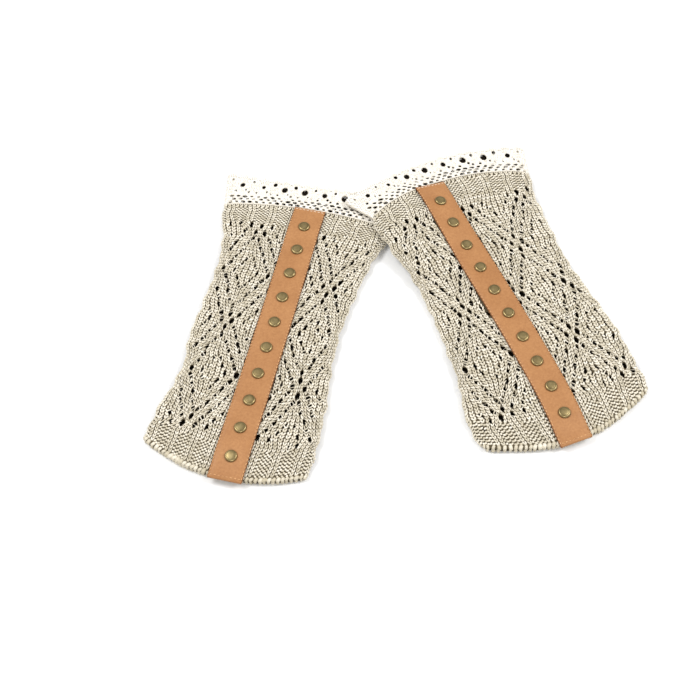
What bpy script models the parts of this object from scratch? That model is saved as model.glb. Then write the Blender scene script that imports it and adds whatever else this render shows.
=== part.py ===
"""Pair of crochet boot cuffs lying flat, the right one's top corner resting on the left one.

Each cuff is a knitted tube in two walls, front and back, that meet along the side folds.
A scalloped lace trim in two panels is sewn round its top edge, and a leather strip with ten
metal studs runs down its front. Every piece is worked out in its own cuff's frame, in
millimetres: u runs across the cuff, v up the cuff from the strip's foot, w up from the
surface. place() turns that into the frame of the pair.
"""
import bpy
import bmesh
from math import cos, hypot, pi, radians, sin
from mathutils import Vector

MM = 0.001
SEAM_GAP = 0.3

# Knitted tube, laid flat: the walls close on each other towards its ends
KNIT_WALL = 2.0
TUBE_HEIGHT = 6.4
END_HEIGHT = 4.8
FOLD_STEPS = 3
RIB_CLEAR_OF_FOLD = 0.08
BODY_ROWS = 12
BACK_COLUMNS = 9

# Rib bands along both ends of the tube
RIB_REPEATS = 8
RIB_RELIEF = 0.6
RIB_PITCH = 2.0 / RIB_REPEATS
RIB_KNIT_SHARE = 3 / 8
RIB_NEAR_EDGE = 4.0
RIB_FAR_EDGE = 17.5
RIB_END = 20.0
EDGE_RELIEF = 0.25

# Diamond lattice of eyelets between the rib bands
LATTICE_TOP = 188.0
LATTICE_FOOT = 32.0
LATTICE_LEVELS = 5
EYELET_WIDTH = 2.6
EYELET_LENGTH = 4.4
EYELET_SIDES = 6
EYELET_OFFSETS = ((-2.6, 0.0), (2.6, 0.0), (0.0, -6.0))
EYELET_LIMIT = 0.88

# Leather strip and studs
STRIP_WIDTH = 21.5
STRIP_THICK = 1.5
STRIP_COLUMNS = 4
STRIP_CLEAR = 0.4
STRIP_MARGIN = 4.0
STUD_COUNT = 10
STUD_PITCH = 19.65
STUD_RADIUS = 3.5
STUD_SIDES = 12
# radius share of the stud, height above the strip
STUD_PROFILE = ((1.0, 0.0), (1.0, 0.8), (0.72, 1.7))
STUD_HEIGHT = 2.1

# Lace trim
LACE_THICK = 1.0
LACE_SCALLOPS = 17
SCALLOP_DEPTH = 1.6
SCALLOP_SHOULDER = 0.28
LACE_DROP = 12.0
LACE_INSET = 0.5
# share of the way from the knit's edge to the scallops
LACE_ROWS = (0.0, 0.2, 0.45, 0.86)

# Where the right cuff climbs onto the left one, whose tube has thinned at its corner
CORNER_THINNING = 0.7
LIFT = TUBE_HEIGHT - CORNER_THINNING + SEAM_GAP
LIFT_FULL = 15.0
LIFT_END = 66.0
LIFT_CENTRE = (50.0, 204.0)

CUFFS = {
    "left": {
        "foot": (-73.6, -94.7),
        "turn": -12.94,
        "strip_top": 209.0,
        "stud_first": 192.0,
        # v, u of the strip's middle line
        "strip_line": ((0, -0.3), (100, 0.5), (209, 0.0)),
        "purl_first": -0.775,
        "lattice_first": -0.56,
        "lattice_pitch": 0.78,
        # v at the hem and at the top edge: left end, middle, right end
        "hem": (17.5, 2.5, 13.0),
        "top": (202.0, 210.0, 206.0),
        # v, left edge, right edge
        "sides": (
            (0, -58.0, 45.0),
            (16, -56.5, 46.5),
            (37, -54.0, 48.0),
            (57, -50.0, 47.0),
            (75, -48.0, 45.0),
            (96, -50.5, 43.0),
            (120, -49.5, 42.5),
            (152, -49.0, 46.0),
            (176, -52.0, 50.0),
            (192, -57.0, 55.0),
            (206, -60.0, 58.0),
        ),
        # lace: v of the scalloped edge, then how far each end stands outside the knit
        "lace_top": (230.0, 231.5, 235.0),
        "lace_flare": (5.0, 6.0),
    },
    "right": {
        "foot": (135.0, -69.3),
        "turn": 21.79,
        "strip_top": 214.5,
        "stud_first": 196.5,
        "strip_line": ((0, 0.6), (40, 2.9), (90, 2.5), (140, 0.9), (190, -1.2), (215, -1.2)),
        "purl_first": -0.94,
        "lattice_first": -0.6,
        "lattice_pitch": 0.72,
        "hem": (18.0, 2.0, 18.0),
        "top": (200.5, 216.5, 201.0),
        "sides": (
            (0, -49.0, 58.0),
            (18, -52.5, 60.0),
            (34, -54.0, 62.0),
            (50, -51.5, 62.5),
            (66, -47.5, 62.5),
            (84, -45.0, 61.5),
            (106, -43.0, 59.0),
            (130, -42.0, 58.0),
            (150, -43.5, 60.0),
            (168, -47.5, 61.5),
            (186, -49.0, 64.5),
            (204, -50.0, 70.0),
        ),
        "lace_top": (223.0, 238.0, 225.0),
        "lace_flare": (11.0, 7.0),
    },
}

# base colour (linear), roughness, metallic
MATERIALS = {
    "knit": ((0.58, 0.53, 0.43, 1.0), 0.95, 0.0),
    "lace": ((0.93, 0.87, 0.78, 1.0), 0.9, 0.0),
    "leather": ((0.62, 0.29, 0.12, 1.0), 0.6, 0.0),
    "brass": ((0.38, 0.28, 0.12, 1.0), 0.35, 1.0),
}


def make_material(name, colour, roughness, metallic):
    """A plain Principled material."""
    material = bpy.data.materials.new(name)
    material.use_nodes = True
    shader = material.node_tree.nodes["Principled BSDF"]
    shader.inputs["Base Color"].default_value = colour
    shader.inputs["Roughness"].default_value = roughness
    shader.inputs["Metallic"].default_value = metallic
    return material


def smooth_table(table, at):
    """Values of a table's columns at a height, on a smooth curve through its rows."""
    rows = list(table)
    last = len(rows) - 2
    i = max(j for j in range(last + 1) if j == 0 or rows[j][0] <= at)
    a, b, c, d = (rows[max(0, min(last + 1, i + j))] for j in (-1, 0, 1, 2))
    span = c[0] - b[0]
    f = max(0.0, min(1.0, (at - b[0]) / span))
    result = []
    for k in range(1, len(b)):
        slope_b = (c[k] - a[k]) / (c[0] - a[0]) * span
        slope_c = (d[k] - b[k]) / (d[0] - b[0]) * span
        result.append(
            (2 * f**3 - 3 * f**2 + 1) * b[k] + (f**3 - 2 * f**2 + f) * slope_b
            + (3 * f**2 - 2 * f**3) * c[k] + (f**3 - f**2) * slope_c)
    return result


def bow(ends, s):
    """Value at s, from -1 to 1, on the parabola through left end, middle and right end."""
    left, middle, right = ends
    return middle + (right - left) / 2 * s + ((left + right) / 2 - middle) * s * s


def smooth_step(x):
    """0 to 1 with level ends."""
    x = max(0.0, min(1.0, x))
    return 0.5 - 0.5 * cos(pi * x)


def to_pair(cuff, u, v):
    """Plan position in the frame of the pair, in millimetres."""
    turn = radians(cuff["turn"])
    x, y = cuff["foot"]
    return x + u * cos(turn) - v * sin(turn), y + u * sin(turn) + v * cos(turn)


def lift_at(cuff, x, y):
    """How high the right cuff stands on the left one's corner."""
    if cuff is not CUFFS["right"]:
        return 0.0
    centre = to_pair(CUFFS["left"], *LIFT_CENTRE)
    away = hypot(x - centre[0], y - centre[1])
    return LIFT * (1 - smooth_step((away - LIFT_FULL) / (LIFT_END - LIFT_FULL)))


def place(cuff, point):
    """A point of one cuff, millimetres, in the frame of the pair, metres."""
    x, y = to_pair(cuff, point[0], point[1])
    return Vector((x, y, point[2] + lift_at(cuff, x, y))) * MM


def shell(faces, outer, inner):
    """A closed wall: each key has an outer and an inner point, and faces list keys."""
    mesh = bmesh.new()
    keys = sorted({key for face in faces for key in face})
    out = {key: mesh.verts.new(outer(key)) for key in keys}
    back = {key: mesh.verts.new(inner(key)) for key in keys}
    edges = {}
    for face in faces:
        mesh.faces.new([out[key] for key in face])
        mesh.faces.new([back[key] for key in reversed(face)])
        for a, b in zip(face, face[1:] + face[:1]):
            edges[(a, b)] = True
    for a, b in edges:
        if (b, a) not in edges:
            mesh.faces.new([out[b], out[a], back[a], back[b]])
    bmesh.ops.triangulate(mesh, faces=mesh.faces)
    bmesh.ops.recalc_face_normals(mesh, faces=mesh.faces)
    return mesh


def grid_faces(columns, rows):
    """Quads of a grid whose keys are (column, row), facing up."""
    return [((c, r), (c + 1, r), (c + 1, r + 1), (c, r + 1))
            for r in range(rows - 1) for c in range(columns - 1)]


def add_object(name, mesh, material):
    """An object from a finished bmesh."""
    data = bpy.data.meshes.new(name)
    mesh.to_mesh(data)
    mesh.free()
    data.materials.append(material)
    data.shade_smooth()
    data.set_sharp_from_angle(angle=radians(35))
    obj = bpy.data.objects.new(name, data)
    bpy.context.scene.collection.objects.link(obj)
    return obj


def row_height(cuff, row, s):
    """v of a row of the tube: rows of the hem band, of the body, of the top band."""
    band = (0.0, RIB_NEAR_EDGE, RIB_FAR_EDGE, RIB_END)
    foot, top = bow(cuff["hem"], s), bow(cuff["top"], s)
    if row < len(band):
        return foot + band[row]
    upper = len(band) + BODY_ROWS - 1
    if row >= upper:
        return top - band[len(band) - 1 - (row - upper)]
    share = (row - len(band) + 1) / BODY_ROWS
    return foot + RIB_END + share * (top - foot - 2 * RIB_END)


TUBE_ROWS = 8 + BODY_ROWS - 1


def row_relief(row):
    """Share of the rib's relief at a row, and the plain relief of the cast-off edge."""
    if row in (0, TUBE_ROWS - 1):
        return 0.0, EDGE_RELIEF
    if row in (1, 2, TUBE_ROWS - 2, TUBE_ROWS - 3):
        return 1.0, 0.0
    return 0.0, 0.0


def row_tube_height(row):
    """Height of the flat tube at a row, less towards its ends."""
    band = (0.0, RIB_NEAR_EDGE, RIB_FAR_EDGE)
    from_end = min(row, TUBE_ROWS - 1 - row)
    inward = band[from_end] if from_end < len(band) else RIB_END
    return END_HEIGHT + (TUBE_HEIGHT - END_HEIGHT) * smooth_step(inward / RIB_END)


def strip_middle(cuff, v):
    """u of the strip's middle line."""
    return smooth_table(cuff["strip_line"], v)[0]


def rib_columns(cuff):
    """Places across the tube, -1 to 1, with 1 on a knit rib and 0 in a purl furrow."""
    columns = []
    half_knit = RIB_PITCH * RIB_KNIT_SHARE / 2
    for k in range(-1, RIB_REPEATS + 1):
        purl = cuff["purl_first"] + k * RIB_PITCH
        knit = purl + RIB_PITCH / 2
        columns += [(purl, 0.0), (knit - half_knit, 1.0), (knit + half_knit, 1.0)]
    return [column for column in columns if abs(column[0]) < 1 - RIB_CLEAR_OF_FOLD]


def section(cuff, columns, row, depth):
    """Points of one row of the tube's upper half, at a depth below its outer face."""
    share, edge = row_relief(row)
    fold = row_tube_height(row) / 2
    radius = fold - depth
    points = []
    angles = [pi / 2 * step / FOLD_STEPS for step in range(FOLD_STEPS)]
    places = [(-1.0, "fold", angle) for angle in angles]
    places += [(-1.0, "flat", 0.0)] + [(s, "rib", on) for s, on in columns] + [(1.0, "flat", 0.0)]
    places += [(1.0, "fold", angle) for angle in reversed(angles)]
    for s, kind, value in places:
        v = row_height(cuff, row, s)
        left, right = smooth_table(cuff["sides"], v)
        middle, half = (left + right) / 2, (right - left) / 2
        if kind == "fold":
            u = middle + s * (half - fold + radius * cos(value))
            w = max(fold + radius * sin(value), fold + SEAM_GAP / 2)
        else:
            u = middle + s * (half - fold if kind == "flat" else half)
            w = fold + radius
            clear = abs(u - strip_middle(cuff, v)) > STRIP_WIDTH / 2 + STRIP_MARGIN
            if kind == "rib" and depth == 0.0 and clear:
                w += value * share * RIB_RELIEF + edge
        points.append(Vector((u, v, w)))
    return points


def eyelet_places(cuff, keep_off_strip):
    """Centres of the largest eyelets, a pair at each crossing of the diamond lattice."""
    places = []
    step = (LATTICE_TOP - LATTICE_FOOT) / (LATTICE_LEVELS - 1)
    for level in range(LATTICE_LEVELS):
        v = LATTICE_TOP - level * step
        left, right = smooth_table(cuff["sides"], v)
        middle, half = (left + right) / 2, (right - left) / 2
        pitch = cuff["lattice_pitch"]
        first = cuff["lattice_first"] - (level % 2) * pitch / 2
        for k in range(4):
            s = first + k * pitch
            u = middle + half * s
            from_strip = abs(u - strip_middle(cuff, v))
            hidden = keep_off_strip and from_strip < STRIP_WIDTH / 2 + STRIP_MARGIN
            if abs(s) < EYELET_LIMIT and not hidden:
                places += [(u + du, v + dv) for du, dv in EYELET_OFFSETS]
    return places


def cut_eyelets(mesh, places, low, high):
    """The wall with an upright hexagonal hole at each place."""
    data = bpy.data.meshes.new("uncut")
    mesh.to_mesh(data)
    mesh.free()
    wall = bpy.data.objects.new("uncut", data)
    prisms = bmesh.new()
    for u, v in places:
        ring = []
        for k in range(EYELET_SIDES):
            angle = 2 * pi * (k + 0.5) / EYELET_SIDES
            x, y = u + EYELET_WIDTH / 2 * sin(angle), v + EYELET_LENGTH / 2 * cos(angle)
            ring.append(prisms.verts.new((x, y, low)))
        foot = prisms.faces.new(ring)
        top = bmesh.ops.extrude_face_region(prisms, geom=[foot])["geom"]
        moved = [item for item in top if isinstance(item, bmesh.types.BMVert)]
        bmesh.ops.translate(prisms, verts=moved, vec=(0, 0, high - low))
    bmesh.ops.recalc_face_normals(prisms, faces=prisms.faces)
    cutter_data = bpy.data.meshes.new("cutter")
    prisms.to_mesh(cutter_data)
    prisms.free()
    cutter = bpy.data.objects.new("cutter", cutter_data)
    cutter.hide_render = True
    cutter.display_type = "WIRE"
    for obj in (wall, cutter):
        bpy.context.scene.collection.objects.link(obj)
    cut = wall.modifiers.new("cut", "BOOLEAN")
    cut.operation = "DIFFERENCE"
    cut.object = cutter
    depsgraph = bpy.context.evaluated_depsgraph_get()
    result = bmesh.new()
    result.from_object(wall, depsgraph)
    for obj in (wall, cutter):
        bpy.data.objects.remove(obj, do_unlink=True)
    bmesh.ops.triangulate(result, faces=result.faces)
    return result


def knit_wall(side, face, material):
    """Front or back wall of the tube, ribbed on the front, with its eyelets cut."""
    cuff = CUFFS[side]
    front = face == "front"
    plain = [(2 * (k + 1) / (BACK_COLUMNS + 1) - 1, 0.0) for k in range(BACK_COLUMNS)]
    columns = rib_columns(cuff) if front else plain

    def surface(depth):
        rows = [section(cuff, columns, row, depth) for row in range(TUBE_ROWS)]
        if not front:
            for row, points in enumerate(rows):
                for point in points:
                    point.z = max(row_tube_height(row) - point.z, 0.0)
        return rows

    outer, inner = surface(0.0), surface(KNIT_WALL)
    count = len(outer[0])
    mesh = shell(grid_faces(count, TUBE_ROWS),
                 lambda key: outer[key[1]][key[0]], lambda key: inner[key[1]][key[0]])
    middle = TUBE_HEIGHT / 2
    low, high = (middle, TUBE_HEIGHT + 2) if front else (-2, middle)
    mesh = cut_eyelets(mesh, eyelet_places(cuff, front), low, high)
    for vert in mesh.verts:
        vert.co = place(cuff, vert.co)
    bmesh.ops.recalc_face_normals(mesh, faces=mesh.faces)
    add_object(f"{side}_knit_{face}", mesh, material)


def lace_panel(side, face, material):
    """Front or back panel of the lace trim, with its scallops."""
    cuff = CUFFS[side]
    top_row = len(LACE_ROWS)

    def plan(column, share, extra):
        """A place on the lace: column counts scallops, share runs up from the knit's edge."""
        s = 2 * column / LACE_SCALLOPS - 1
        root = bow(cuff["top"], s) + SEAM_GAP
        left, right = smooth_table(cuff["sides"], root)
        flare = share * s**3 * cuff["lace_flare"][0 if s < 0 else 1]
        u = (left + right) / 2 + s * ((right - left) / 2 - LACE_INSET) + flare
        v = root + share * (bow(cuff["lace_top"], s) - root) + extra
        return u, v, v - root

    def point(key, above):
        row, column = key
        shoulder = column % 3
        place_across = column // 3 + (0, SCALLOP_SHOULDER, 1 - SCALLOP_SHOULDER)[shoulder]
        if row == top_row:
            extra = SCALLOP_DEPTH if shoulder else 0.0
            u, v, run = plan(place_across, 1.0, extra)
        else:
            u, v, run = plan(place_across, LACE_ROWS[row], 0.0)
        rest = LACE_THICK + SEAM_GAP if face == "front" else 0.0
        root = END_HEIGHT - KNIT_WALL if face == "front" else 0.0
        w = rest + (root - rest) * (1 - smooth_step(run / LACE_DROP))
        return place(cuff, (u, v, w + (LACE_THICK if above else 0.0)))

    faces = []
    for k in range(LACE_SCALLOPS):
        a, b = 3 * k, 3 * k + 3
        for row in range(top_row - 1):
            faces.append(((row, a), (row, b), (row + 1, b), (row + 1, a)))
        low = top_row - 1
        faces.append(((low, a), (low, b), (top_row, b), (top_row, b - 1), (top_row, a + 1),
                      (top_row, a)))
    mesh = shell(faces, lambda key: point(key, True), lambda key: point(key, False))
    add_object(f"{side}_lace_{face}", mesh, material)


def strip_rows(cuff):
    """The strip's rows, v and height of its underside, the same as the knit's below it."""
    places = [0.0]
    places += [row_height(cuff, row, 0.0) for row in range(1, TUBE_ROWS - 1)]
    places.append(cuff["strip_top"])
    return [(v, row_tube_height(row) + STRIP_CLEAR) for row, v in enumerate(places)]


def leather_strip(side, material):
    """The strip down the front, lying on the knit."""
    cuff = CUFFS[side]
    rows = strip_rows(cuff)

    def point(key, above):
        column, row = key
        v, underside = rows[row]
        u = strip_middle(cuff, v) + STRIP_WIDTH * (column / STRIP_COLUMNS - 0.5)
        return place(cuff, (u, v, underside + (STRIP_THICK if above else 0.0)))

    mesh = shell(grid_faces(STRIP_COLUMNS + 1, TUBE_ROWS),
                 lambda key: point(key, True), lambda key: point(key, False))
    add_object(f"{side}_strip", mesh, material)


def stud(side, number, material):
    """One low stud on the strip, tilted with it where the tube thins."""
    cuff = CUFFS[side]
    rows = strip_rows(cuff)
    centre_v = cuff["stud_first"] - STUD_PITCH * (number - 1)
    centre_u = strip_middle(cuff, centre_v)
    mesh = bmesh.new()

    def point(across, along, height):
        v = centre_v + along
        k = max(k for k in range(len(rows) - 1) if rows[k][0] <= v)
        (low_v, low), (high_v, high) = rows[k], rows[k + 1]
        underside = low + (high - low) * (v - low_v) / (high_v - low_v)
        return place(cuff, (centre_u + across, v, underside + STRIP_THICK + SEAM_GAP + height))

    rings = []
    for share, height in STUD_PROFILE:
        ring = []
        for k in range(STUD_SIDES):
            angle = 2 * pi * k / STUD_SIDES
            radius = STUD_RADIUS * share
            ring.append(mesh.verts.new(point(radius * cos(angle), radius * sin(angle), height)))
        rings.append(ring)
    mesh.faces.new(list(reversed(rings[0])))
    for low, high in zip(rings, rings[1:]):
        for k in range(STUD_SIDES):
            n = (k + 1) % STUD_SIDES
            mesh.faces.new([low[k], low[n], high[n], high[k]])
    crown = mesh.verts.new(point(0.0, 0.0, STUD_HEIGHT))
    for k in range(STUD_SIDES):
        mesh.faces.new([rings[-1][k], rings[-1][(k + 1) % STUD_SIDES], crown])
    bmesh.ops.triangulate(mesh, faces=mesh.faces)
    add_object(f"{side}_stud_{number:02d}", mesh, material)


def centre_pair():
    """Moves everything so that the box's bottom centre is the origin."""
    points = [vert.co for obj in bpy.data.objects for vert in obj.data.vertices]
    low = [min(p[axis] for p in points) for axis in range(3)]
    high = [max(p[axis] for p in points) for axis in range(3)]
    shift = Vector(((low[0] + high[0]) / 2, (low[1] + high[1]) / 2, low[2]))
    for obj in bpy.data.objects:
        for vert in obj.data.vertices:
            vert.co -= shift


def build():
    """The whole pair."""
    for obj in list(bpy.data.objects):
        bpy.data.objects.remove(obj, do_unlink=True)
    materials = {name: make_material(name, *values) for name, values in MATERIALS.items()}
    for side in CUFFS:
        for face in ("back", "front"):
            knit_wall(side, face, materials["knit"])
            lace_panel(side, face, materials["lace"])
        leather_strip(side, materials["leather"])
        for number in range(1, STUD_COUNT + 1):
            stud(side, number, materials["brass"])
    centre_pair()


build()
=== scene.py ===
from itertools import product
from math import atan2, cos, pi, radians, sin

import bmesh
import bpy
import numpy as np
from mathutils import Matrix, Vector


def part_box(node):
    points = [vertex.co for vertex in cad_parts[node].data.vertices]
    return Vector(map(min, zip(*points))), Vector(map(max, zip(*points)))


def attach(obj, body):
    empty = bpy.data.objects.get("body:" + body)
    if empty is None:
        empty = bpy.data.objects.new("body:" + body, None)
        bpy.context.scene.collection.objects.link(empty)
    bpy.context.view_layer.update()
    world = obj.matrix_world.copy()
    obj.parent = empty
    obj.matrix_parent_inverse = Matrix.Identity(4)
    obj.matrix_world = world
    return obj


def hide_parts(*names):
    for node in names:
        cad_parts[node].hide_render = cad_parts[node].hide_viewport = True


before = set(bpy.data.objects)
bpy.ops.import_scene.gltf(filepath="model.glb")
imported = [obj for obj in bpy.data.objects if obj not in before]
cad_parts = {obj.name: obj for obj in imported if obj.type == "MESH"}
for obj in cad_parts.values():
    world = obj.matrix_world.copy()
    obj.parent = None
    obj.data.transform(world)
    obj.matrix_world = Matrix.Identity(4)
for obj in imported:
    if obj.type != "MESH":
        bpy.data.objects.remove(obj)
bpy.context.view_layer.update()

# Looks of the pair of crochet boot cuffs. Each cuff is worked out in its own frame, in
# millimetres, as the solids are: u across, v up the cuff from the strip's foot, w up from
# the surface. to_frame() turns that into the frame of the pair, in metres.

MM = 0.001
SEED = 7
FLOOR = "floor"

# Tube of knitted cloth, laid flat
TUBE_HEIGHT = 6.4
END_HEIGHT = 4.8
END_RUN = 20.0
WALL = 2.0
GROUND_DEPTH = 1.1
RING_COLUMNS = 72
RING_ROWS = 60
FOLD_TURN = 2.2
ROUND_ENDS = 1.03

# Waves of the side folds: height, mm a radian of the short and the long ones, share of the long
EDGE_WAVE = 0.45
SHORT_WAVE = 1.9
LONG_WAVE = 3.3
LONG_SHARE = 0.8

# Swells of the front: height, mm a radian up the cuff, radians from its middle to its side
SWELL = 0.32
SWELL_RUNS = (11.0, 23.0, 6.3)
SWELL_SLANTS = (3.1, -5.0, -8.0)
LAST_SWELL = 0.6

# Stitches: five wales to a rib repeat, three purl and two knit
WALE = 0.05
WALE_NUMBERS = (-20, 60)
WALES_PER_RIB = 5
PURL_WALES = 3
COURSES = 85
RIB_RELIEF = 0.6
RIB_STEEP = 1.9
RIB_NEAR = 3.0
RIB_FAR = 17.5
RIB_FADE = 1.6
RIB_POINT = 3.0
RIB_RAGGED = 1.6
RAGGED_TURN = 2.4
HEM_CHAIN = 2.6
SEAM_ROWS = 0.9
UNDER_STRIP = 1.6
STITCH_TONES = (0.3, 1.0)
# name, side of the cloth, side of the strip, rings and sides of the yarn
STITCHED_PARTS = (("front_left", 1, -1, 3, 6), ("front_right", 1, 1, 3, 6), ("back", -1, 0, 2, 4))

# Yarn, in wales across, courses along and millimetres up
YARN_RADIUS = 0.5
GRAIN_FILL = 0.6
# Share of full light painted at the tucked ends of each grain of yarn: painted shade towards both
# ends
PAINTED_END_LIGHT = 0.25
LEG_FOOT = 0.07
LEG_TIP = 0.36
LEG_WIDTH = 0.36
LEG_LENGTH = 1.22
LEG_CREST = 0.5
WALE_ROUND = 1.3
BUMP_SPAN = 0.68
BUMP_WIDTH = 0.6
BUMP_TILT = 0.1
BUMP_CREST = 0.3
BUMP_ASIDE = 0.25

# Beads of the cast-off chain along the hem
BEAD_SIZE = (2.5, 3.7, 2.7)
BEAD_SLANT = 30.0
BEAD_INSET = 1.1
# How far beads stray in turn, in size and along the hem
BEAD_STRAY = np.array([[[0.4]], [[0.2]], [[0.25]]])
BEAD_TONES = (0.15, 0.75)

# Lattice of eyelets between the rib bands
LATTICE_TOP = 188.0
LATTICE_FOOT = 32.0
LATTICE_LEVELS = 5
LEVEL_RISE = (LATTICE_TOP - LATTICE_FOOT) / (LATTICE_LEVELS - 1)
LATTICE_FADE = 12
DIAMONDS = range(-1, 5)
EYELETS_PER_SIDE = 7
ROW_SPREAD = 3.7
EYELET_WIDE = 0.82
EYELET_WIDENS = 0.4
EYELET_LONG = 2.4
EYELET_MERGE = (3.2, 4.6)
EYELET_APART = 0.5
EYELET_SIDES = 8
BACK_EYELETS = 0.65
OFF_FOLD = 1.5
# A third row inside the diamonds, away from the middle of their sides
THIRD_ROW = 11.1
THIRD_FROM = 0.3
THIRD_DROPPED = 0.1
THIRD_WIDE, THIRD_LONG = 0.7, 2.25
# Ladders of narrow eyelets: across and up from the middle of a diamond
LADDER_PLACES = ((-3.7, 3.5), (3.9, -2.0), (0.2, -9.0), (-0.2, 9.5))
LADDER_CLEAR = (2.4, 6.6)
LADDER_WIDE, LADDER_LONG = 0.24, 3.2
# How far eyelets stray: across, up, in turn, in width and in length
EYELET_STRAY = (0.35, 0.3, 0.12, 0.2, 0.1)

# Yarn drawn aside by the lattice
NEAR_EYELET = (5, 6)
YARN_CLEAR = 0.6
END_CLEAR = 0.4
GROUND_CLEAR = 0.4
YARN_STRAY = 0.16
WALE_SWAY = 2.9
STITCH_LEAN = 0.3
# Heights that an eyelet is cut to, past the tube's top, its underside and its middle
CUT_TOP, CUT_FOOT, CUT_MIDDLE = 9.0, -2.0, 0.1

# Leather strip, its sewing and its studs
STRIP_WIDTH = 21.5
STRIP_THICK = 1.5
STRIP_CLEAR = 0.4
STRIP_COLUMNS = 14
HIDE_THICK = 1.15
EDGE_DROP = 0.6
EDGE_FROM = 0.8
END_ROUND = 1.6
EDGE_STAIN = 0.75
STAIN_FROM = 0.93
NOTCH = 0.4
NOTCH_FROM = 0.9
SEW_PITCH = 2.45
SEW_INSET = 0.8
SEW_RADIUS = 0.3
SEW_RISE = 0.1
ROWS_PER_SEW = 4
EDGE_DASH, FOOT_DASH, HEAD_DASH = 1.9, 1.7, 1.9
END_PITCH = 2.3
END_INSET = 1.8
STUD_COUNT = 10
STUD_PITCH = 19.65
STUD_STEPS = 28
GROOVE_RADIUS, GROOVE_WIDTH, GROOVE_WASH = 2.65, 0.3, 0.5
# radius, height above the strip: sunk shank, rounded rim and flat crown
STUD_PROFILE = (
    (0.0, -0.4), (3.3, -0.4), (3.76, -0.05), (3.88, 0.35), (3.79, 0.75), (3.54, 1.1),
    (3.2, 1.36), (2.8, 1.46), (2.6, 1.44), (2.3, 1.5), (1.2, 1.56), (0.0, 1.57),
)

# Lace trim: its panels start a little under the knit's edge
LACE_THICK = 0.45
LACE_LIFT = 0.25
LACE_START = -0.035
LACE_COLUMNS = 10
LACE_GRID_ROWS = 8
LACE_SCALLOPS = 17
SCALLOP_DEPTH = 3.2
SCALLOP_BASE = 1.5
LACE_DROP = 12.0
LACE_ROOT = 4.7
LACE_INSET = 0.5
SEAM_GAP = 0.3
SHADED_TO = 0.9
# Where the two panels meet at the side folds, and their heights there
MEET_FROM, MEET_RUN = 0.86, 0.13
FRONT_REST, FRONT_MEETS_LOWER = 1.3, 0.35
FRONT_MEET, BACK_MEET = 2.5, 1.6
# panel, side of the cloth, scallops that its motifs are shifted by
LACE_PANELS = (("front", 1, 0.0), ("back", -1, 0.9))
# scallop that each motif of two starts from, share of the way up, half width, half height
LACE_MOTIF = (
    (1.0, 0.68, 1.9, 2.3),
    (0.0, 0.82, 1.1, 1.4),
    (1.4, 0.56, 0.75, 0.9),
    (1.75, 0.47, 0.75, 0.9),
    (0.45, 0.5, 0.8, 0.9),
)
# share of the way up, half width, half height, shift along the row
LACE_NET = ((0.045, 1.55, 1.15, 0.0), (0.17, 1.6, 1.3, 0.5), (0.3, 1.5, 1.25, 0.0))
NET_PITCH = 0.66
HOLE_STRAY = 0.3
HOLES_APART = 0.4
HOLES_FROM_SIDE = 0.35

# Threads of the lace: rows of posts, links between them, and picots on the scallops
LACE_ROWS = 10
POSTS_PER_SCALLOP = 6
POST_LENGTH = 1.35
POST_WIDTH = 1.15
LINK_LENGTH = 1.5
LINK_WIDTH = 0.045
# share of a row's height and how near a hole's middle a thread may come, in hole radii
POST_UP, POST_REACH = 0.5, 0.5
LINK_UP, LINK_REACH = 0.8, 1.1
THREAD_RADIUS = 0.32
BACK_THREAD = 0.6
THREAD_RISE = {1: 0.27, -1: -0.03}
PICOTS_PER_SCALLOP = 7
PICOT_SIZE = (1.3, 1.1, 0.95)
PICOT_OUT = 0.1

# Where the right cuff climbs onto the left one's corner
LIFT = 6.0
LIFT_FULL = 15.0
LIFT_END = 66.0
LIFT_CENTRE = (50.0, 204.0)

CUFFS = {
    "left": {
        "foot": (-73.6, -94.7),
        "turn": -12.94,
        "strip_top": 209,
        "stud_first": 192,
        "strip_line": ((0, -0.3), (100, 0.5), (209, 0)),
        "purl_first": -0.775,
        "lattice_first": -0.56,
        "lattice_pitch": 0.78,
        "hem": (17.5, 2.5, 13),
        "top": (202, 210, 206),
        "sides": (
            (0, -58, 45), (16, -56.5, 46.5), (37, -54, 48), (57, -50, 47),
            (75, -48, 45), (96, -50.5, 43), (120, -49.5, 42.5), (152, -49, 46),
            (176, -52, 50), (192, -57, 55), (206, -60, 58),
        ),
        "lace_top": (230, 231.5, 235),
        "lace_flare": (5, 6),
    },
    "right": {
        "foot": (135, -69.3),
        "turn": 21.79,
        "strip_top": 214.5,
        "stud_first": 196.5,
        "strip_line": ((0, 0.6), (40, 2.9), (90, 2.5), (140, 0.9), (190, -1.2), (215, -1.2)),
        "purl_first": -0.94,
        "lattice_first": -0.6,
        "lattice_pitch": 0.72,
        "hem": (18, 2, 18),
        "top": (200.5, 216.5, 201),
        "sides": (
            (0, -49, 58), (18, -52.5, 60), (34, -54, 62), (50, -51.5, 62.5),
            (66, -47.5, 62.5), (84, -45, 61.5), (106, -43, 59), (130, -42, 58),
            (150, -43.5, 60), (168, -47.5, 61.5), (186, -49, 64.5), (204, -50, 70),
        ),
        "lace_top": (223, 238, 225),
        "lace_flare": (11, 7),
    },
}


# Places on the cloth

def table_at(rows, at):
    """A table's columns at heights, on a smooth curve through its rows."""
    rows, at = np.array(rows, float), np.asarray(at, float)
    i = np.clip(np.searchsorted(rows[:, 0], at, side="right") - 1, 0, len(rows) - 2)
    a, b, c, d = (rows[np.clip(i + j, 0, len(rows) - 1)] for j in (-1, 0, 1, 2))
    span = (c - b)[..., :1]
    f = np.clip((at[..., None] - b[..., :1]) / span, 0.0, 1.0)
    slope_b = (c - a) / (c - a)[..., :1] * span
    slope_c = (d - b) / (d - b)[..., :1] * span
    value = ((2 * f**3 - 3 * f**2 + 1) * b + (f**3 - 2 * f**2 + f) * slope_b
             + (3 * f**2 - 2 * f**3) * c + (f**3 - f**2) * slope_c)
    return value[..., 1:]


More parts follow.
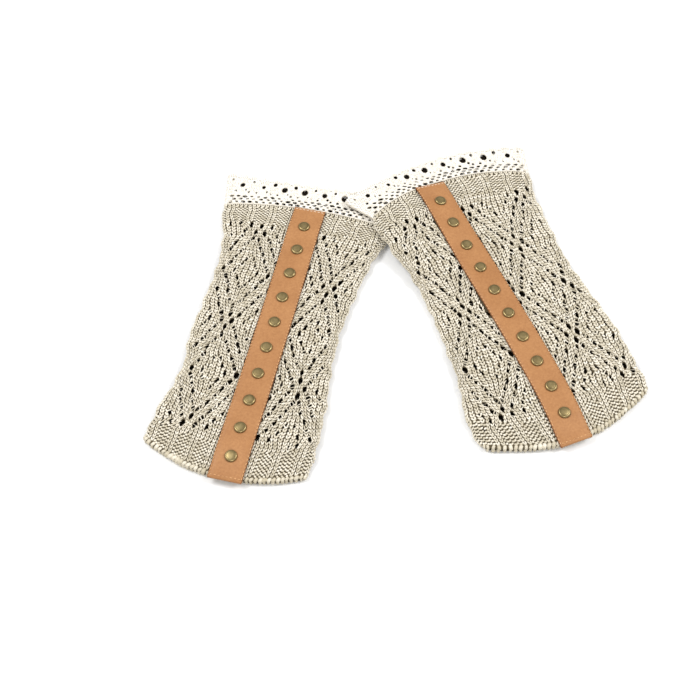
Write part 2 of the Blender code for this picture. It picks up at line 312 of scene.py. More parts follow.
def bow(ends, s):
    """Value at s, from -1 to 1, on the parabola through left end, middle and right end."""
    left, middle, right = ends
    s = np.clip(s, -1.0, 1.0)
    return middle + (right - left) / 2 * s + ((left + right) / 2 - middle) * s * s


def smooth_step(x, start=0.0, run=1.0):
    """0 to 1 with level ends, from start on."""
    return 0.5 - 0.5 * np.cos(pi * np.clip((x - start) / run, 0.0, 1.0))


def middle_and_half(cuff, v):
    """u of the tube's middle and half its width, which the lattice draws in and lets out."""
    v = np.asarray(v)
    sides = table_at(cuff["sides"], v)
    wave = EDGE_WAVE * (np.sin(v / SHORT_WAVE) + LONG_SHARE * np.sin(v / LONG_WAVE + 1.0))
    return (sides[..., 0] + sides[..., 1]) / 2, (sides[..., 1] - sides[..., 0]) / 2 + wave


def half_width(cuff, v):
    """Half the tube's width at one height."""
    return float(middle_and_half(cuff, v)[1])


def ends_at(cuff, s):
    """v of the tube's hem and of its top edge."""
    return bow(cuff["hem"], s), bow(cuff["top"], s)


def strip_middle(cuff, v):
    """u of the leather strip's middle line."""
    return table_at(cuff["strip_line"], v)[..., 0]


def inward_of_ends(cuff, s, v):
    """Distance from the nearer end of the tube."""
    hem, top = ends_at(cuff, s)
    return np.minimum(v - hem, top - v)


def tube_height(cuff, s, v):
    """Height of the flat tube, less towards its ends."""
    inward = inward_of_ends(cuff, s, v)
    return END_HEIGHT + (TUBE_HEIGHT - END_HEIGHT) * smooth_step(inward, 0, END_RUN)


def to_pair(cuff, u, v):
    """Plan position in the frame of the pair, in millimetres, before the box is centred."""
    turn = radians(cuff["turn"])
    x, y = cuff["foot"]
    return x + u * cos(turn) - v * sin(turn), y + u * sin(turn) + v * cos(turn)


def centring():
    """How far the solids were moved to centre their box, read off a stud's own box."""
    low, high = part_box("left_stud_05")
    cuff = CUFFS["left"]
    v = cuff["stud_first"] - 4 * STUD_PITCH
    x, y = to_pair(cuff, float(strip_middle(cuff, v)), v)
    return x - (low.x + high.x) / 2 / MM, y - (low.y + high.y) / 2 / MM


SHIFT = centring()


def to_frame(cuff, u, v, w):
    """Points of one cuff in the frame of the pair, in metres, along a last axis."""
    x, y = to_pair(cuff, u, v)
    if cuff is CUFFS["right"]:
        centre = to_pair(CUFFS["left"], *LIFT_CENTRE)
        away = np.hypot(x - centre[0], y - centre[1])
        w = w + LIFT * (1 - smooth_step(away, LIFT_FULL, LIFT_END - LIFT_FULL))
    return np.stack([x - SHIFT[0], y - SHIFT[1], w], axis=-1) * MM


def wrap_tube(cuff, across, v, depth, face):
    """The flattened tube's cloth: across runs along it from its middle line, depth below its
    outer side. face is 1 for the front wall and -1 for the back."""
    middle, half = middle_and_half(cuff, v)
    bend = tube_height(cuff, across / half, v) / 2
    flat = half - bend
    run = np.abs(across)
    angle = np.clip((run - flat) / bend, 0.0, FOLD_TURN)
    u = middle + np.sign(across) * (np.minimum(run, flat) + (bend - depth) * np.sin(angle))
    return u, v, bend + face * (bend - depth) * np.cos(angle)


def half_round(cuff, v, s):
    """Length of cloth from the tube's middle line to its side fold's outermost line."""
    half = middle_and_half(cuff, v)[1]
    return half + (pi / 2 - 1) * tube_height(cuff, s, v) / 2


def front_rise(cuff, s, v):
    """How far the front's cloth rises: ribs over their purl furrows, and slow swells of cloth
    that was stretched over a form. Both end beside the leather strip."""
    middle, half = middle_and_half(cuff, v)
    from_strip = np.abs(middle + s * half - strip_middle(cuff, v)) - STRIP_WIDTH / 2
    phase = (s - cuff["purl_first"]) / (WALES_PER_RIB * WALE)
    rib = smooth_step(0.2 + RIB_STEEP * (0.15 - np.cos(2 * pi * phase)))
    inward = inward_of_ends(cuff, s, v)
    band = (smooth_step(inward, RIB_NEAR - RIB_FADE, RIB_FADE)
            * (1 - smooth_step(inward, RIB_FAR, RIB_FADE)))
    ribs = RIB_RELIEF * rib * band * smooth_step(from_strip, 0.5, 4.0)
    first, second, last = (v / run + slant * s for run, slant in zip(SWELL_RUNS, SWELL_SLANTS))
    swell = SWELL * (np.sin(first) * np.cos(second) + LAST_SWELL * np.sin(last))
    return ribs + swell * smooth_step(from_strip, 1.0, 8.0) * smooth_step(inward, 0, END_RUN)


# Eyelets of the lattice

def lattice_rows(cuff, rng):
    """Eyelets along the diamonds' sides: across, v, slant, half width, half length. Two rows
    run along each side and part of a third inside it."""
    pitch = cuff["lattice_pitch"]
    rows = []
    for offset, level in product((-ROW_SPREAD, ROW_SPREAD, -THIRD_ROW, THIRD_ROW),
                                 range(LATTICE_LEVELS)):
        first = cuff["lattice_first"] - (level % 2) * pitch / 2
        count = EYELETS_PER_SIDE if level < LATTICE_LEVELS - 1 else 1
        for k, lean, n in product(DIAMONDS, (-1, 1), range(count)):
            share = n / EYELETS_PER_SIDE
            v = LATTICE_TOP - (level + share) * LEVEL_RISE
            half = half_width(cuff, v)
            across = (first + k * pitch + lean * share * pitch / 2) * half + offset
            slope = -lean * pitch / 2 * half / LEVEL_RISE if n else 0.0
            crossing = abs(share - 0.5) * 2
            wide, long = EYELET_WIDE + EYELET_WIDENS * crossing**2, EYELET_LONG
            if abs(offset) == THIRD_ROW:
                inside = offset * lean * (share - 0.5) < 0
                if not inside or crossing < THIRD_FROM or rng.uniform() < THIRD_DROPPED:
                    continue
                wide, long = THIRD_WIDE, THIRD_LONG
            rows.append((across, v, atan2(slope, 1.0), wide, long))
    return rows


def merged(rows):
    """The rows' eyelets as lists. Rows that meet near a crossing share an upright eyelet."""
    kept, shared = [], set()
    for across, v, slant, wide, long in rows:
        near = [k for k, other in enumerate(kept) if abs(other[0] - across) < EYELET_MERGE[0]
                and abs(other[1] - v) < EYELET_MERGE[1]]
        if not near:
            kept.append([across, v, slant, wide, long])
        elif near[0] not in shared:
            shared.add(near[0])
            kept[near[0]][0] = (kept[near[0]][0] + across) / 2
            kept[near[0]][2] = 0.0
    return kept


def add_ladders(cuff, eyelets):
    """Adds the narrow ladders up the middle of the diamonds, where there is room."""
    for level, k in product(range(LATTICE_LEVELS), DIAMONDS):
        v = LATTICE_TOP - level * LEVEL_RISE
        s = cuff["lattice_first"] + (k + 0.5 - (level % 2) / 2) * cuff["lattice_pitch"]
        for aside, up in LADDER_PLACES:
            across, height = s * half_width(cuff, v) + aside, v + up
            clear = all(abs(other[0] - across) > LADDER_CLEAR[0]
                        or abs(other[1] - height) > LADDER_CLEAR[1] for other in eyelets)
            if clear and LATTICE_FOOT - 4 < height < LATTICE_TOP:
                eyelets.append([across, height, 0.0, LADDER_WIDE, LADDER_LONG])


def eyelet_table(cuff):
    """Every eyelet of the lattice: across, v, slant, half width, half length."""
    rng = np.random.default_rng(SEED)
    places = merged(lattice_rows(cuff, rng))
    add_ladders(cuff, places)
    aside, up, turn, wider, longer = EYELET_STRAY
    eyelets = []
    for across, v, slant, wide, long in places:
        draw = rng.uniform(-1, 1, 4)
        eyelet = (across + aside * draw[0], v + up * draw[1], slant + turn * draw[2],
                  wide * (1 + wider * draw[3]), long * (1 + longer * draw[3]))
        off_folds = abs(across) < half_width(cuff, v) - TUBE_HEIGHT / 2 - OFF_FOLD
        if off_folds and apart(eyelet, eyelets, EYELET_APART):
            eyelets.append(eyelet)
    return eyelets


def apart(hole, others, room):
    """True if a hole (across, v, slant, half width, half length) has room beside the others."""
    return all(np.hypot((hole[0] - other[0]) / (hole[3] + other[3] + room),
                        (hole[1] - other[1]) / (hole[4] + other[4] + 0.3 * room)) > 1.0
               for other in others)


def in_lattice(v):
    """1 in the lattice and 0 in the rib bands."""
    foot, top = LATTICE_FOOT - LATTICE_FADE / 2, LATTICE_TOP + LATTICE_FADE / 2
    return smooth_step(v, foot, LATTICE_FADE) * smooth_step(top - v, 0, LATTICE_FADE)


def drawn_aside(cuff, s, v):
    """How far the wales are drawn aside, so that they run along the diamonds' sides, and how
    much each stitch leans past its wale."""
    a = 2 * pi * (s - cuff["lattice_first"]) / cuff["lattice_pitch"]
    b = pi * (LATTICE_TOP - v) / LEVEL_RISE
    pull = -np.sin(a) * in_lattice(v)
    return WALE_SWAY * pull * np.cos(b), STITCH_LEAN * pull * np.sin(b)


def part_round_eyelets(across, v, middle, eyelets):
    """Yarn drawn aside, so that it runs past each eyelet on the side that its middle is on."""
    across, v = across.copy(), v.copy()
    middle = np.broadcast_to(middle, across.shape)
    for centre, level, slant, wide, long in eyelets:
        near = (np.abs(across - centre) < NEAR_EYELET[0]) & (np.abs(v - level) < NEAR_EYELET[1])
        x, y = across[near] - centre, v[near] - level
        along = x * sin(slant) + y * cos(slant)
        side = (middle[near] - centre) * cos(slant) - y * sin(slant)
        to_end = np.clip(1 - (along / (long + END_CLEAR)) ** 2, 0, 1)
        room = (wide + YARN_CLEAR) * np.sqrt(to_end)
        aside = np.sign(side) * (np.cbrt(np.abs(side) ** 3 + room**3) - np.abs(side))
        across[near] += aside * cos(slant)
        v[near] -= aside * sin(slant)
    return across, v


def inside_hole(u, v, holes, reach):
    """True where a thread would lie in a hole, or that many of its radii from its middle."""
    lost = np.zeros(u.shape, bool)
    for centre, level, slant, wide, long in holes:
        x, y = u - centre, v - level
        side, along = x * cos(slant) - y * sin(slant), x * sin(slant) + y * cos(slant)
        lost |= np.hypot(side / wide, along / long) < reach
    return lost


# Materials

def linear(code):
    """A colour written as sRGB hex, in linear numbers."""
    parts = [int(code[i:i + 2], 16) / 255 for i in (1, 3, 5)]
    return tuple(p / 12.92 if p <= 0.04045 else ((p + 0.055) / 1.055) ** 2.4
                 for p in parts) + (1.0,)


def per_mm(size):
    """A texture scale on object coordinates, in metres, for a feature of that many mm."""
    return 1.0 / (size * MM)


def fill(node, **inputs):
    """Gives a node's inputs values or other nodes' outputs. _6 means the input at place 6."""
    for name, value in inputs.items():
        key = int(name[1:]) if name[0] == "_" else name.replace("_", " ")
        if isinstance(value, bpy.types.NodeSocket):
            node.id_data.links.new(value, node.inputs[key])
        else:
            node.inputs[key].default_value = value
    return node


def add_node(tree, kind, settings=None, **inputs):
    """Adds a node with its settings and its inputs."""
    node = tree.nodes.new(kind)
    for name, value in (settings or {}).items():
        setattr(node, name, value)
    return fill(node, **inputs)


def new_material(name):
    """A Principled material, its node tree and its shader."""
    material = bpy.data.materials.new(name)
    material.use_nodes = True
    return material, material.node_tree, material.node_tree.nodes["Principled BSDF"]


def on_object(tree):
    """The object's own coordinates, which every pattern is laid on."""
    return add_node(tree, "ShaderNodeTexCoord").outputs["Object"]


def painted(tree, name):
    """A value that the mesh carries at its points."""
    return add_node(tree, "ShaderNodeAttribute", {"attribute_name": name}).outputs["Fac"]


def clouds(tree, size, **inputs):
    """Noise with features of that many mm."""
    return add_node(tree, "ShaderNodeTexNoise", Vector=on_object(tree),
                    Scale=per_mm(size), **inputs).outputs["Fac"]


def blend(tree, share, first, second):
    """The first colour at share 0 and the second at 1, each a hex code or an output."""
    first, second = (linear(tint) if isinstance(tint, str) else tint for tint in (first, second))
    return add_node(tree, "ShaderNodeMix", {"data_type": "RGBA"}, _0=share, _6=first,
                    _7=second).outputs[2]


def remap(tree, value, low=0.0, high=1.0, to_low=0.0, to_high=1.0):
    """A value moved from one span to another."""
    return add_node(tree, "ShaderNodeMapRange", _0=value, _1=low, _2=high, _3=to_low,
                    _4=to_high).outputs[0]


def relief(tree, strength, height):
    """Bumps up to 0.15 mm high."""
    return add_node(tree, "ShaderNodeBump", Strength=strength, Distance=0.15 * MM,
                    Height=height).outputs["Normal"]


def spun_yarn(name, shade, body, fleck, grain, sheen):
    """Matt spun yarn: fibres of two shades twisted together, so no two stitches match. The value
    the mesh carries at its points blends it towards the shade colour: random tone, and painted
    shade where the stitches' ends tuck in.
    """
    material, tree, shader = new_material(name)
    fill(shader, Roughness=0.95, Specular_IOR_Level=0.2, Sheen_Weight=sheen, Sheen_Roughness=0.5)
    plies = remap(tree, clouds(tree, grain, Detail=2.0, Roughness=0.6), 0.32, 0.68)
    marl = blend(tree, plies, body, fleck)
    fill(shader, Base_Color=blend(tree, painted(tree, "tone_and_shade"), shade, marl),
         Normal=relief(tree, 0.5, clouds(tree, 0.3, Detail=3.0)))
    return material


def cloth_in_painted_shade(name, colour, darker):
    """The cloth between and behind the stitches, which little light reaches: its colours are
    painted shade, darker than the yarn.
    """
    material, tree, shader = new_material(name)
    fill(shader, Roughness=1.0, Specular_IOR_Level=0.0,
         Base_Color=blend(tree, clouds(tree, 1.6, Detail=2.0), darker, colour))
    return material


def grain_leather():
    """Vegetable-tanned cowhide, embossed with a fine grain: satin, paler on the high spots."""
    material, tree, shader = new_material("tan_grain_leather")
    fill(shader, Roughness=0.55, Specular_IOR_Level=0.35)
    cloud = clouds(tree, 14.0, Detail=4.0)
    hide = blend(tree, cloud, "#9c6a3e", "#b98656")
    pores = remap(tree, clouds(tree, 1.3, Detail=2.0), 0.3, 0.7, 0.3, 0.0)
    pored = blend(tree, pores, hide, "#7d4a24")
    cells = add_node(tree, "ShaderNodeTexVoronoi", {"feature": "DISTANCE_TO_EDGE"},
                     Vector=on_object(tree), Scale=per_mm(1.1), Randomness=1.0)
    fill(shader, Base_Color=blend(tree, painted(tree, "edge"), pored, "#6c3c1a"),
         Roughness=remap(tree, cloud, to_low=0.42, to_high=0.6),
         Normal=relief(tree, 0.6, cells.outputs["Distance"]))
    return material


def antique_brass():
    """Brass-plated steel with a brown wash left in the groove and rubbed off the high parts, and
    painted shade in the same dark brown on its low side, where it meets the leather.
    """
    material, tree, shader = new_material("antique_brass")
    fill(shader, Roughness=0.38, Metallic=1.0)
    patina = clouds(tree, 2.2, Detail=4.0)
    rubbed = blend(tree, patina, "#86734b", "#ab9a70")
    fill(shader, Base_Color=blend(tree, painted(tree, "wash_and_shade"), rubbed, "#35260f"),
         Roughness=remap(tree, patina, to_low=0.28, to_high=0.5))
    return material


# Acrylic and cotton marl, loosely spun: oatmeal with cream and taupe plies
KNIT = spun_yarn("oatmeal_marl_yarn", "#b3a88d", "#ece4d2", "#f9f3e7", 1.3, 0.25)
# The same cloth deep between the stitches, painted brown as shade that parts one stitch from the
# next
KNIT_GROUND_PAINTED_SHADE = cloth_in_painted_shade("marl_yarn_between_stitches_painted_shade", "#6a5f4b", "#514837")
# The inside of the tube lies in its own shade, painted here near black, so that it reads near
# black through the eyelets
KNIT_INSIDE_PAINTED_SHADE = cloth_in_painted_shade("marl_yarn_inside_tube_painted_shade", "#2c2620", "#1b1713")
# Mercerised cotton crochet thread: warm cream, paler than the knit
LACE = spun_yarn("cream_cotton_thread", "#d5cbba", "#f1ece2", "#faf7f1", 0.9, 0.1)
# The lace between the threads: painted shade, a little darker than the thread
LACE_GROUND_PAINTED_SHADE = cloth_in_painted_shade("cream_cotton_between_threads_painted_shade", "#e9e3d7", "#dcd4c5")
# The back panel's upper side, under the front one: painted shade, near black through the holes
LACE_INSIDE_PAINTED_SHADE = cloth_in_painted_shade("cream_cotton_in_shade", "#1f1a16", "#15110e")
LEATHER = grain_leather()
# Waxed polyester thread: a tone lighter than the leather, and pale at the head
SEWING = spun_yarn("tan_sewing_thread", "#a8713f", "#d6a16b", "#e8bb88", 0.7, 0.1)
PALE_SEWING = spun_yarn("pale_sewing_thread", "#d9b795", "#f0d8bb", "#fbe9d2", 0.7, 0.1)
BRASS = antique_brass()


# Knitted pieces

def finish_piece(obj):
    """Every piece of the pair rides on its one body."""
    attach(obj, "root")
    return obj


def object_from(name, mesh, *materials):
    """An object from mesh data, smooth shaded."""
    for material in materials:
        mesh.materials.append(material)
    mesh.shade_smooth()
    obj = bpy.data.objects.new(name, mesh)
    bpy.context.scene.collection.objects.link(obj)
    return obj


def places_of(mesh):
    """A bmesh's vertices as an array of places."""
    return np.array([vert.co[:] for vert in mesh.verts])


def set_places(mesh, places):
    """Moves a bmesh's vertices to an array of places."""
    for vert, place in zip(mesh.verts, places):
        vert.co = place


def points_and_triangles(mesh):
    """A triangulated bmesh as two arrays. The bmesh is freed."""
    mesh.verts.index_update()
    points = places_of(mesh)
    triangles = np.array([[vert.index for vert in face.verts] for face in mesh.faces])
    mesh.free()
    return points, triangles


def unit_grid(columns, rows):
    """A flat grid that runs from -1 to 1 both ways, with the places across and along it."""
    mesh = bmesh.new()
    bmesh.ops.create_grid(mesh, x_segments=columns, y_segments=rows, size=1.0)
    return mesh, *places_of(mesh).T[:2]


def yarn_grain(rings, sides=4):
    """A closed grain of yarn along Y, one long and one thick: its points and its triangles."""
    ball = bmesh.new()
    bmesh.ops.create_uvsphere(ball, u_segments=sides, v_segments=rings + 1, radius=0.5,
                              matrix=Matrix.Rotation(radians(-90), 4, "X"))
    bmesh.ops.triangulate(ball, faces=ball.faces)
    bmesh.ops.recalc_face_normals(ball, faces=ball.faces)
    return points_and_triangles(ball)


def full_grain(rings, sides):
    """A grain with fuller ends, and a painted light for each point along it: full at its middle
    and none at its ends.
    """
    grain, faces = yarn_grain(rings, sides)
    fuller = 1 + GRAIN_FILL * (2 * grain[:, 1:2]) ** 2
    grain[:, ::2] *= fuller
    return grain, faces, 1 - (2 * grain[:, 1]) ** 2


def knit_stitch(rings, sides):
    """Two legs of a V, whose tips tuck under the next stitch of the wale."""
    grain, faces, light = full_grain(rings, sides)
    along = grain[:, 1] + 0.5
    legs = []
    for side in (-1, 1):
        across = side * (LEG_FOOT + (LEG_TIP - LEG_FOOT) * along) + grain[:, 0] * LEG_WIDTH
        up = LEG_CREST * np.sin(pi * along) + grain[:, 2] * 2 * YARN_RADIUS
        up = up - WALE_ROUND * across**2
        legs.append(np.stack([across, (along - 0.5) * LEG_LENGTH, up, light], axis=1))
    return np.concatenate(legs), np.concatenate([faces, faces + len(grain)])


def purl_stitch(rings, sides):
    """The back of a stitch: two bumps set chequerwise, with a dark gap at each corner."""
    grain, faces, light = full_grain(rings, sides)
    along = grain[:, 1]
    up = BUMP_CREST * np.cos(pi * along) + grain[:, 2] * 2 * YARN_RADIUS
    bumps = []
    for way in (-1, 1):
        course = way * (BUMP_ASIDE + 2 * BUMP_TILT * along) - grain[:, 0] * BUMP_WIDTH
        bumps.append(np.stack([along * BUMP_SPAN - way * BUMP_ASIDE, course, up, light], axis=1))
    return np.concatenate(bumps), np.concatenate([faces, faces + len(grain)])


def tiled_mesh(name, parts, attribute="tone_and_shade"):
    """One mesh from groups of copies. A group is the places of its copies' points, the
    triangles of one copy, and the attribute's value for each copy or each point."""
    places, triangles, tones, base = [], [], [], 0
    for points, faces, tone_and_shade in parts:
        count, size = points.shape[:2]
        starts = base + size * np.arange(count)
        places.append(points.reshape(-1, 3))
        triangles.append((faces[None] + starts[:, None, None]).reshape(-1, 3))
        tones.append(np.broadcast_to(tone_and_shade.reshape(count, -1), (count, size)).ravel())
        base += count * size
    places, triangles = np.concatenate(places), np.concatenate(triangles)
    mesh = bpy.data.meshes.new(name)
    mesh.vertices.add(len(places))
    mesh.vertices.foreach_set("co", places.ravel())
    mesh.loops.add(triangles.size)
    mesh.loops.foreach_set("vertex_index", triangles.ravel())
    mesh.polygons.add(len(triangles))
    mesh.polygons.foreach_set("loop_start", np.arange(0, triangles.size, 3))
    mesh.update(calc_edges=True)
    mesh.attributes.new(attribute, "FLOAT", "POINT").data.foreach_set(
        "value", np.concatenate(tones))
    return mesh


def wall_room(cuff, face, s, v):
    """How far across a wall's stitches reach: the front takes the last half wale."""
    half = middle_and_half(cuff, v)[1]
    return half_round(cuff, v, s) + face * 0.5 * WALE * half


def along_tube(cuff, s, course):
    """v of a course, a share of the way from hem to top."""
    hem, top = ends_at(cuff, s)
    return hem + course * (top - hem)


def stitch_grid(cuff, face):
    """Number of its wale, s and course of every stitch of one wall."""
    wales = np.arange(*WALE_NUMBERS)
    s, course = np.meshgrid(cuff["purl_first"] + WALE * wales,
                            (np.arange(COURSES) + 0.5) / COURSES, indexing="ij")
    number = np.broadcast_to(wales[:, None], s.shape)
    v = along_tube(cuff, s, course)
    hem, top = ends_at(cuff, s)
    keep = np.abs(s * middle_and_half(cuff, v)[1]) < wall_room(cuff, face, s, v)
    keep &= (v - hem > HEM_CHAIN) & (top - v > SEAM_ROWS)
    return number[keep], s[keep], course[keep]


def yarn_places(cuff, face, s, course, stitch, eyelets):
    """Where each stitch's points lie, in the frame of the pair."""
    s_all = s[:, None] + stitch[:, 0] * WALE
    hem, top = (end[:, None] for end in ends_at(cuff, s))
    along = stitch[:, 1] / COURSES * (top - hem)
    v_all = hem + course[:, None] * (top - hem) + along
    sway, lean = drawn_aside(cuff, s_all, v_all)
    across = s_all * middle_and_half(cuff, v_all)[1] + sway + along * lean
    rng = np.random.default_rng(SEED + len(s))
    stray = rng.uniform(-YARN_STRAY, YARN_STRAY, (2, len(s), 1)) * in_lattice(v_all)
    across, v_all = across + stray[0], v_all + stray[1]
    legs = across.reshape(len(s), 2, -1)
    middle = np.broadcast_to(legs.mean(axis=2, keepdims=True), legs.shape)
    across, v_all = part_round_eyelets(across, v_all, middle.reshape(across.shape), eyelets)
    rise = stitch[:, 2] - GROUND_DEPTH + YARN_RADIUS * 0.5
    if face > 0:
        rise = rise + front_rise(cuff, s_all, v_all)
    return to_frame(cuff, *wrap_tube(cuff, across, v_all, -rise, face))


def hem_chain(cuff, face):
    """Cast-off chain along the hem: one slanted bead to a wale, over the wall's cut edge."""
    grain, faces, light = full_grain(3, 6)
    rng = np.random.default_rng(SEED + 3)
    bead = grain * np.array(BEAD_SIZE)
    s = np.arange(-1.1, 1.1, WALE)
    edge = bow(cuff["hem"], s)
    half = middle_and_half(cuff, edge)[1]
    keep = np.abs(s * half) < wall_room(cuff, face, s, edge)
    middle, edge = (s * half)[keep, None], edge[keep, None]
    turn, size, aside = BEAD_STRAY * rng.uniform(-1, 1, (3, *edge.shape))
    slant = radians(BEAD_SLANT) + turn
    across = (1 + size) * (bead[:, 0] * np.cos(slant) + bead[:, 1] * np.sin(slant))
    up = (1 + size) * (bead[:, 1] * np.cos(slant) - bead[:, 0] * np.sin(slant))
    v = edge + BEAD_INSET + up
    depth = BEAD_SIZE[2] / 2 - bead[:, 2] + 0 * across
    u, _, w = wrap_tube(cuff, across + (middle + aside), np.maximum(v, edge), depth, face)
    # Random tone for each bead, with painted shade towards the ends of its grain
    tone_and_shade = rng.uniform(*BEAD_TONES, edge.shape) * (PAINTED_END_LIGHT + (1 - PAINTED_END_LIGHT) * light)
    return to_frame(cuff, u, v, w), faces[:, ::face], tone_and_shade


def wall_yarn(cuff, face, eyelets, part, rings, sides):
    """Groups of the stitches of one wall. part is -1 or 1 for one side of the strip, or 0."""
    rng = np.random.default_rng(SEED + face)
    number, s, course = stitch_grid(cuff, face)
    v = along_tube(cuff, s, course)
    place = (number + PURL_WALES // 2) % WALES_PER_RIB
    reach = RIB_FAR + RIB_RAGGED * np.sin(RAGGED_TURN * number) + RIB_POINT * (place == 1)
    inward = inward_of_ends(cuff, s, v)
    purl = (place < PURL_WALES) & (inward > RIB_NEAR) & (inward < reach)
    middle, half = middle_and_half(cuff, v)
    from_strip = middle + s * half - strip_middle(cuff, v)
    keep = (part == 0) | (part * from_strip > STRIP_WIDTH / 2 - UNDER_STRIP)
    tone_and_shade = rng.uniform(*STITCH_TONES, len(s))
    groups = []
    for chosen, make in ((keep & ~purl, knit_stitch), (keep & purl, purl_stitch)):
        stitch, faces = make(rings, sides)
        places = yarn_places(cuff, face, s[chosen], course[chosen], stitch, eyelets)
        # Painted shade: each stitch's random tone falls towards the tucked ends of its grains
        light = PAINTED_END_LIGHT + (1 - PAINTED_END_LIGHT) * stitch[:, 3]
        groups.append((places, faces[:, ::face], tone_and_shade[chosen][:, None] * light))
    return groups


def cut_through(mesh, prisms):
    """The closed mesh with the prisms cut out of it."""
    uncut, cutters = bmesh_object("uncut", mesh), bmesh_object("cutters", prisms)
    cut = uncut.modifiers.new("cut", "BOOLEAN")
    cut.operation = "DIFFERENCE"
    cut.object = cutters
    cut.use_self = True
    result = bmesh.new()
    result.from_object(uncut, bpy.context.evaluated_depsgraph_get())
    for obj in (uncut, cutters):
        bpy.data.objects.remove(obj, do_unlink=True)
    bmesh.ops.triangulate(result, faces=result.faces)
    return result


def add_prism(prisms, u, v, slant, wide, long, low, high):
    """One upright prism of oval section."""
    matrix = (Matrix.Translation((u, v, (low + high) / 2)) @ Matrix.Rotation(-slant, 4, "Z")
              @ Matrix.Diagonal((wide, long, high - low, 1.0)))
    bmesh.ops.create_cone(prisms, cap_ends=True, segments=EYELET_SIDES, radius1=1.0,
                          radius2=1.0, depth=1.0, matrix=matrix)


def looks_inward(cuff, mesh):
    """True for each face that looks to the tube's axis, or into it through an eyelet."""
    centres = np.array([face.calc_center_median()[:] for face in mesh.faces])
    normals = np.array([face.normal[:] for face in mesh.faces])
    middle, half = middle_and_half(cuff, centres[:, 1])
    bend = TUBE_HEIGHT / 2
    axis_u = middle + np.clip(centres[:, 0] - middle, bend - half, half - bend)
    outward = (centres[:, 0] - axis_u) * normals[:, 0] + (centres[:, 2] - bend) * normals[:, 2]
    return outward < -0.05


def knit_ground(cuff, eyelets):
    """The cloth behind the stitches: one tube with its wall's thickness and its eyelets."""
    mesh, x, y = unit_grid(RING_COLUMNS, RING_ROWS)
    in_front = np.abs(x) <= 0.5
    round_share = np.where(in_front, 2 * x, np.sign(x) * 2 * (1 - np.abs(x)))
    s = np.clip(round_share * ROUND_ENDS, -1, 1)
    v = along_tube(cuff, s, (y + 1) / 2)
    across = round_share * half_round(cuff, v, s)
    rise = np.where(in_front, front_rise(cuff, s, v), 0.0)
    places = wrap_tube(cuff, across, v, GROUND_DEPTH - rise, np.where(in_front, 1, -1))
    set_places(mesh, np.stack(places, axis=1))
    bmesh.ops.remove_doubles(mesh, verts=mesh.verts, dist=0.01)
    bmesh.ops.solidify(mesh, geom=mesh.faces, thickness=WALL - GROUND_DEPTH)
    prisms = bmesh.new()
    for across, v, slant, wide, long in eyelets:
        centre = float(middle_and_half(cuff, v)[0]) + across
        if abs(centre - float(strip_middle(cuff, v))) > STRIP_WIDTH / 2:
            add_prism(prisms, centre, v, slant, wide + GROUND_CLEAR, long,
                      TUBE_HEIGHT / 2 + CUT_MIDDLE, CUT_TOP)
        add_prism(prisms, centre, v, slant, wide * BACK_EYELETS + GROUND_CLEAR,
                  long * BACK_EYELETS, CUT_FOOT, TUBE_HEIGHT / 2 - CUT_MIDDLE)
    mesh = cut_through(mesh, prisms)
    # Faces that look into the tube take the near-black painted shade, the others the brown
    # painted shade of the ground
    for face, inward in zip(mesh.faces, looks_inward(cuff, mesh)):
        face.material_index = int(inward)
    set_places(mesh, to_frame(cuff, *places_of(mesh).T))
    return mesh


def bmesh_object(name, mesh, *materials):
    """An object from a finished bmesh."""
    data = bpy.data.meshes.new(name)
    mesh.to_mesh(data)
    mesh.free()
    return object_from(name, data, *materials)


def knit_tube(side):
    """One cuff's cloth: the ground and its stitches."""
    cuff = CUFFS[side]
    eyelets = eyelet_table(cuff)
    ground = bmesh_object(f"{side}_knit", knit_ground(cuff, eyelets), KNIT_GROUND_PAINTED_SHADE, KNIT_INSIDE_PAINTED_SHADE)
    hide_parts(f"{side}_knit_front", f"{side}_knit_back")
    yarn = {}
    small = [(*place, wide * BACK_EYELETS, long * BACK_EYELETS)
             for *place, wide, long in eyelets]
    for name, face, part, rings, sides in STITCHED_PARTS:
        holes = eyelets if face > 0 else small
        yarn[f"{side}_stitches_{name}"] = wall_yarn(cuff, face, holes, part, rings, sides)
    yarn[f"{side}_hem_chain"] = [hem_chain(cuff, 1), hem_chain(cuff, -1)]
    pieces = [object_from(name, tiled_mesh(name, groups), KNIT)
              for name, groups in yarn.items()]
    for piece in (ground, *pieces):
        finish_piece(piece)
    return ground, pieces


# Lace trim

def lace_plan(cuff, p, run_share):
    """A place on a lace panel: p counts scallops, run_share goes from the knit's edge to the
    scallops. Gives u, v and how far it is from the knit's edge."""
    s = 2 * p / LACE_SCALLOPS - 1
    root = bow(cuff["top"], s) + SEAM_GAP
    middle, half = middle_and_half(cuff, root)
    flare = np.clip(run_share, 0, 1) * s**3 * np.where(s < 0, *cuff["lace_flare"])
    round_top = SCALLOP_DEPTH * np.sqrt(np.clip(1 - (2 * (p % 1.0) - 1) ** 2, 0, 1))
    reach = bow(cuff["lace_top"], s) - root - SCALLOP_BASE + round_top
    run = run_share * reach
    return middle + s * (half - LACE_INSET) + flare, root + run, run


def lace_level(run, face, s):
    """Height of the underside of a panel, which lies flat past its seam. The two panels meet
    at the side folds."""
    to_fold = smooth_step(np.abs(s), MEET_FROM, MEET_RUN)
    if face > 0:
        rest = FRONT_REST - FRONT_MEETS_LOWER * to_fold
        root = LACE_ROOT + (FRONT_MEET - LACE_ROOT) * to_fold
    else:
        rest, root = 0.0, BACK_MEET * to_fold
    return rest + (root - rest) * (1 - smooth_step(run, 0, LACE_DROP))


def lace_place(cuff, u, v):
    """s of a place on a lace panel and how far it is from the knit's edge."""
    s = np.clip(u / 60.0, -1, 1)
    for _ in range(3):
        root = bow(cuff["top"], s) + SEAM_GAP
        middle, half = middle_and_half(cuff, root)
        share = np.clip((v - root) / (bow(cuff["lace_top"], s) - root), 0, 1)
        flare = share * s**2 * np.where(s < 0, *cuff["lace_flare"])
        s = (u - middle) / (half - LACE_INSET + flare)
    return s, v - root


